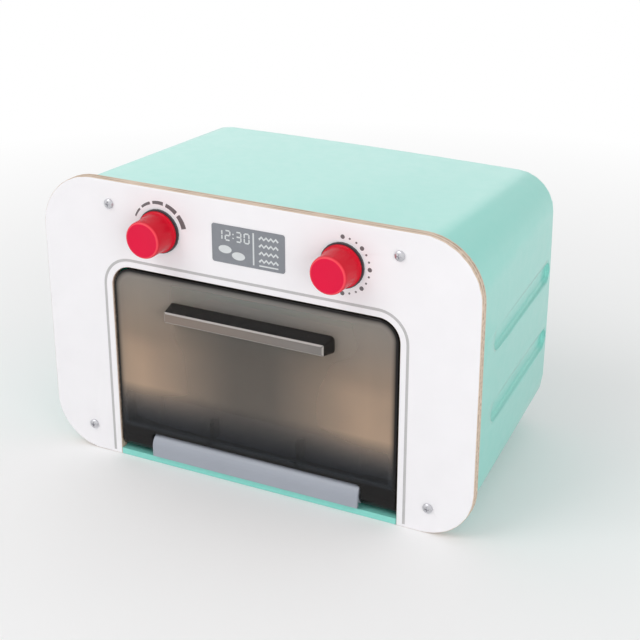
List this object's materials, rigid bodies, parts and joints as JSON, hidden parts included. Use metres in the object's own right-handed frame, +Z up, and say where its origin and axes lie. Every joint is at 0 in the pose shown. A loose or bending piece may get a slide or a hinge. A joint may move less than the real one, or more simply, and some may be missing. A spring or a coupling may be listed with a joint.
{
  "type": "toy oven",
  "caption": "Child's play oven: flat front board with rounded corners, drafted shell with side grooves, smoked drop-down door, turning knobs, battery bay and speaker behind.",
  "frame": {"origin": "middle of the bounding box at the table, under the front board's legs and the rear feet", "axes": "+X to the right of someone facing the door, +Y to the back, +Z up"},
  "size_m": [0.27, 0.1738, 0.1726],
  "materials": {
    "painted_board": "plywood with a satin white face and bare edges",
    "mint_plastic": "semi-gloss pale mint",
    "grey_plastic": "satin mid grey",
    "smoked_plastic": "clear smoked moulding",
    "label": "printed grey field",
    "lens_plastic": "frosted cream",
    "lamp_plastic": "clear lamp body",
    "circuit": "green board",
    "speaker_steel": "plated",
    "cone_paper": "pressed paper",
    "contact_steel": "nickel plated",
    "red_plastic": "gloss red",
    "dark_plastic": "dark grey",
    "shaft_plastic": "natural",
    "pin_steel": "ground",
    "screw_steel": "zinc plated",
    "foot_rubber": "matt",
    "battery_steel": "plain wrapped cell",
    "red_lead": "insulated wire",
    "black_lead": "insulated wire"
  },
  "bodies": {
    "oven": {"front_board": "painted_board", "housing": "mint_plastic", "oven_floor": "grey_plastic", "cavity_ceiling": "mint_plastic", "display_label": "label", "lamp_lens": "lens_plastic", "lamp": "lamp_plastic", "circuit_board": "circuit", "speaker": "speaker_steel", "speaker_cone": "cone_paper", "battery_box": "mint_plastic", "battery_bridge": "contact_steel", "left_knob_washer": "dark_plastic", "left_rotary_switch": "dark_plastic", "left_hinge_pin": "pin_steel", "left_circuit_screw": "screw_steel", "left_ceiling_screw": "screw_steel", "left_floor_screw": "screw_steel", "left_rear_foot": "foot_rubber", "right_knob_washer": "dark_plastic", "right_rotary_switch": "dark_plastic", "right_hinge_pin": "pin_steel", "right_circuit_screw": "screw_steel", "right_ceiling_screw": "screw_steel", "right_floor_screw": "screw_steel", "right_rear_foot": "foot_rubber", "battery_lower": "battery_steel", "battery_spring_lower": "contact_steel", "battery_terminal_lower": "contact_steel", "battery_lead_lower": "black_lead", "speaker_lead_lower": "black_lead", "battery_upper": "battery_steel", "battery_spring_upper": "contact_steel", "battery_terminal_upper": "contact_steel", "battery_lead_upper": "red_lead", "speaker_lead_upper": "red_lead", "board_screw_top_left": "screw_steel", "board_screw_top_right": "screw_steel", "board_screw_leg_left": "screw_steel", "board_screw_leg_right": "screw_steel"},
    "door": {"door": "smoked_plastic", "door_handle": "smoked_plastic"},
    "left_knob": {"left_knob": "red_plastic", "left_knob_shaft": "shaft_plastic"},
    "right_knob": {"right_knob": "red_plastic", "right_knob_shaft": "shaft_plastic"},
    "battery_cover": {"battery_cover": "mint_plastic", "left_cover_screw": "screw_steel", "right_cover_screw": "screw_steel"}
  },
  "joints": [
    {"name": "door_hinge", "type": "hinge", "parent": "oven", "child": "door", "pos_m": [0, -0.06305, 0.011], "axis": [1, 0, 0], "range_deg": [0, 85]},
    {"name": "left_knob_turn", "type": "hinge", "parent": "oven", "child": "left_knob", "pos_m": [-0.0565, -0.06905, 0.148], "axis": [0, 1, 0], "range_deg": [0, 150]},
    {"name": "right_knob_turn", "type": "hinge", "parent": "oven", "child": "right_knob", "pos_m": [0.0565, -0.06905, 0.148], "axis": [0, 1, 0], "range_deg": [0, 180]},
    {"name": "battery_cover_lift", "type": "slide", "parent": "oven", "child": "battery_cover", "axis": [0, 1, 0], "range_m": [0, 0.03]}
  ]
}
